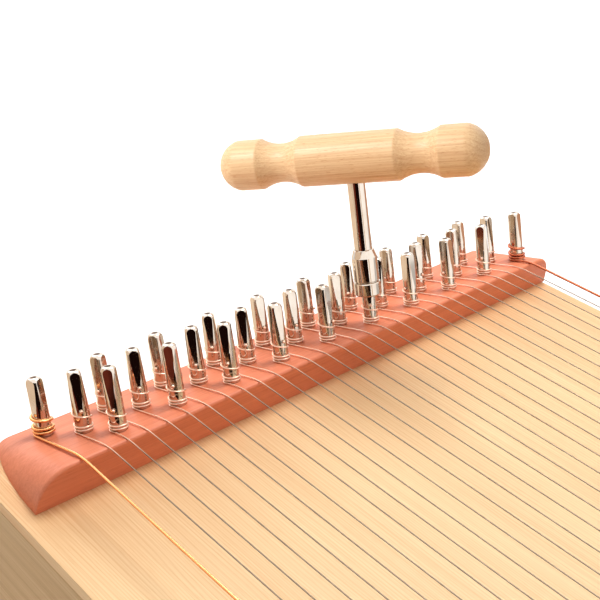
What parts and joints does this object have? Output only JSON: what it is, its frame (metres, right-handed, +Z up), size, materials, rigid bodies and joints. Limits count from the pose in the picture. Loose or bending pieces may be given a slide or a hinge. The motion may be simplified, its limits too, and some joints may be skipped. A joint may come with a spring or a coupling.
{
  "type": "monochord",
  "caption": "Shallow rectangular sound box with parallel strings over a spruce soundboard, a wedge block of tuning pins at one end, and a T-handled key on a pin.",
  "frame": {"origin": "middle of the underside of the back, where the sound box rests", "axes": "+X along the strings from the tuning pins to the tail, +Y across the strings, +Z up"},
  "size_m": [0.6367, 0.248, 0.147],
  "materials": {
    "spruce": "satin",
    "red_wood": "satin",
    "maple": "satin",
    "beech": "satin",
    "nickel": "polished",
    "steel": "polished",
    "bronze": "wound",
    "copper": "wound"
  },
  "bodies": {
    "sound_box": {"soundboard": "spruce", "back": "maple", "near_rim": "maple", "far_rim": "maple", "pin_plank": "maple", "tail_plank": "maple", "pin_block": "red_wood", "tail_block": "red_wood", "near_top_lining": "maple", "far_top_lining": "maple", "near_back_lining": "maple", "far_back_lining": "maple", "soundboard_brace_1": "spruce", "soundboard_brace_2": "spruce", "soundboard_brace_3": "spruce", "soundboard_brace_4": "spruce", "back_brace_1": "spruce", "back_brace_2": "spruce", "back_brace_3": "spruce", "plain_strings": "steel", "bronze_string": "bronze", "copper_string": "copper"},
    "pin_01": {"tuning_pin_01": "nickel"},
    "pin_02": {"tuning_pin_02": "nickel"},
    "pin_03": {"tuning_pin_03": "nickel"},
    "pin_04": {"tuning_pin_04": "nickel"},
    "pin_05": {"tuning_pin_05": "nickel"},
    "pin_06": {"tuning_pin_06": "nickel"},
    "pin_07": {"tuning_pin_07": "nickel"},
    "pin_08": {"tuning_pin_08": "nickel"},
    "pin_09": {"tuning_pin_09": "nickel"},
    "pin_10": {"tuning_pin_10": "nickel"},
    "pin_11": {"tuning_pin_11": "nickel"},
    "pin_12": {"tuning_pin_12": "nickel"},
    "pin_13": {"tuning_pin_13": "nickel"},
    "pin_14": {"tuning_pin_14": "nickel"},
    "pin_15": {"tuning_pin_15": "nickel"},
    "pin_16": {"tuning_pin_16": "nickel"},
    "pin_17": {"tuning_pin_17": "nickel"},
    "pin_18": {"tuning_pin_18": "nickel"},
    "pin_19": {"tuning_pin_19": "nickel"},
    "pin_20": {"tuning_pin_20": "nickel"},
    "pin_21": {"tuning_pin_21": "nickel"},
    "pin_22": {"tuning_pin_22": "nickel"},
    "pin_23": {"tuning_pin_23": "nickel"},
    "pin_24": {"tuning_pin_24": "nickel"},
    "pin_25": {"tuning_pin_25": "nickel"},
    "pin_26": {"tuning_pin_26": "nickel"},
    "pin_27": {"tuning_pin_27": "nickel"},
    "pin_28": {"tuning_pin_28": "nickel"},
    "pin_29": {"tuning_pin_29": "nickel"},
    "pin_30": {"tuning_pin_30": "nickel"},
    "key": {"key_handle": "beech", "key_shaft": "nickel", "key_socket": "nickel"}
  },
  "joints": [
    {"name": "key_lift", "type": "slide", "parent": "pin_18", "child": "key", "axis": [-0.314, 0, 0.9494], "range_m": [0, 0.06]},
    {"name": "pin_18_turn", "type": "hinge", "parent": "sound_box", "child": "pin_18", "pos_m": [-0.2743, 0.02569, 0.06949], "axis": [-0.314, 0, 0.9494], "continuous": true},
    {"name": "pin_01_turn", "type": "hinge", "parent": "sound_box", "child": "pin_01", "pos_m": [-0.2915, -0.09974, 0.0638], "axis": [-0.314, 0, 0.9494], "continuous": true},
    {"name": "pin_02_turn", "type": "hinge", "parent": "sound_box", "child": "pin_02", "pos_m": [-0.2829, -0.09116, 0.06665], "axis": [-0.314, 0, 0.9494], "continuous": true},
    {"name": "pin_03_turn", "type": "hinge", "parent": "sound_box", "child": "pin_03", "pos_m": [-0.2743, -0.08457, 0.06949], "axis": [-0.314, 0, 0.9494], "continuous": true},
    {"name": "pin_04_turn", "type": "hinge", "parent": "sound_box", "child": "pin_04", "pos_m": [-0.2915, -0.07739, 0.0638], "axis": [-0.314, 0, 0.9494], "continuous": true},
    {"name": "pin_05_turn", "type": "hinge", "parent": "sound_box", "child": "pin_05", "pos_m": [-0.2829, -0.07007, 0.06665], "axis": [-0.314, 0, 0.9494], "continuous": true},
    {"name": "pin_06_turn", "type": "hinge", "parent": "sound_box", "child": "pin_06", "pos_m": [-0.2743, -0.06245, 0.06949], "axis": [-0.314, 0, 0.9494], "continuous": true},
    {"name": "pin_07_turn", "type": "hinge", "parent": "sound_box", "child": "pin_07", "pos_m": [-0.2915, -0.05527, 0.0638], "axis": [-0.314, 0, 0.9494], "continuous": true},
    {"name": "pin_08_turn", "type": "hinge", "parent": "sound_box", "child": "pin_08", "pos_m": [-0.2829, -0.04713, 0.06665], "axis": [-0.314, 0, 0.9494], "continuous": true},
    {"name": "pin_09_turn", "type": "hinge", "parent": "sound_box", "child": "pin_09", "pos_m": [-0.2743, -0.04054, 0.06949], "axis": [-0.314, 0, 0.9494], "continuous": true},
    {"name": "pin_10_turn", "type": "hinge", "parent": "sound_box", "child": "pin_10", "pos_m": [-0.2915, -0.03336, 0.0638], "axis": [-0.314, 0, 0.9494], "continuous": true},
    {"name": "pin_11_turn", "type": "hinge", "parent": "sound_box", "child": "pin_11", "pos_m": [-0.2829, -0.02611, 0.06665], "axis": [-0.314, 0, 0.9494], "continuous": true},
    {"name": "pin_12_turn", "type": "hinge", "parent": "sound_box", "child": "pin_12", "pos_m": [-0.2743, -0.01871, 0.06949], "axis": [-0.314, 0, 0.9494], "continuous": true},
    {"name": "pin_13_turn", "type": "hinge", "parent": "sound_box", "child": "pin_13", "pos_m": [-0.2915, -0.01131, 0.0638], "axis": [-0.314, 0, 0.9494], "continuous": true},
    {"name": "pin_14_turn", "type": "hinge", "parent": "sound_box", "child": "pin_14", "pos_m": [-0.2829, -0.00391, 0.06665], "axis": [-0.314, 0, 0.9494], "continuous": true},
    {"name": "pin_15_turn", "type": "hinge", "parent": "sound_box", "child": "pin_15", "pos_m": [-0.2743, 0.00349, 0.06949], "axis": [-0.314, 0, 0.9494], "continuous": true},
    {"name": "pin_16_turn", "type": "hinge", "parent": "sound_box", "child": "pin_16", "pos_m": [-0.2915, 0.01089, 0.0638], "axis": [-0.314, 0, 0.9494], "continuous": true},
    {"name": "pin_17_turn", "type": "hinge", "parent": "sound_box", "child": "pin_17", "pos_m": [-0.2829, 0.01829, 0.06665], "axis": [-0.314, 0, 0.9494], "continuous": true},
    {"name": "pin_19_turn", "type": "hinge", "parent": "sound_box", "child": "pin_19", "pos_m": [-0.2915, 0.03309, 0.0638], "axis": [-0.314, 0, 0.9494], "continuous": true},
    {"name": "pin_20_turn", "type": "hinge", "parent": "sound_box", "child": "pin_20", "pos_m": [-0.2829, 0.04049, 0.06665], "axis": [-0.314, 0, 0.9494], "continuous": true},
    {"name": "pin_21_turn", "type": "hinge", "parent": "sound_box", "child": "pin_21", "pos_m": [-0.2743, 0.04789, 0.06949], "axis": [-0.314, 0, 0.9494], "continuous": true},
    {"name": "pin_22_turn", "type": "hinge", "parent": "sound_box", "child": "pin_22", "pos_m": [-0.2915, 0.05529, 0.0638], "axis": [-0.314, 0, 0.9494], "continuous": true},
    {"name": "pin_23_turn", "type": "hinge", "parent": "sound_box", "child": "pin_23", "pos_m": [-0.2829, 0.06269, 0.06665], "axis": [-0.314, 0, 0.9494], "continuous": true},
    {"name": "pin_24_turn", "type": "hinge", "parent": "sound_box", "child": "pin_24", "pos_m": [-0.2743, 0.07009, 0.06949], "axis": [-0.314, 0, 0.9494], "continuous": true},
    {"name": "pin_25_turn", "type": "hinge", "parent": "sound_box", "child": "pin_25", "pos_m": [-0.2915, 0.07749, 0.0638], "axis": [-0.314, 0, 0.9494], "continuous": true},
    {"name": "pin_26_turn", "type": "hinge", "parent": "sound_box", "child": "pin_26", "pos_m": [-0.2829, 0.08489, 0.06665], "axis": [-0.314, 0, 0.9494], "continuous": true},
    {"name": "pin_27_turn", "type": "hinge", "parent": "sound_box", "child": "pin_27", "pos_m": [-0.2743, 0.09229, 0.06949], "axis": [-0.314, 0, 0.9494], "continuous": true},
    {"name": "pin_28_turn", "type": "hinge", "parent": "sound_box", "child": "pin_28", "pos_m": [-0.2915, 0.09969, 0.0638], "axis": [-0.314, 0, 0.9494], "continuous": true},
    {"name": "pin_29_turn", "type": "hinge", "parent": "sound_box", "child": "pin_29", "pos_m": [-0.2829, 0.10709, 0.06665], "axis": [-0.314, 0, 0.9494], "continuous": true},
    {"name": "pin_30_turn", "type": "hinge", "parent": "sound_box", "child": "pin_30", "pos_m": [-0.2743, 0.11449, 0.06949], "axis": [-0.314, 0, 0.9494], "continuous": true}
  ]
}
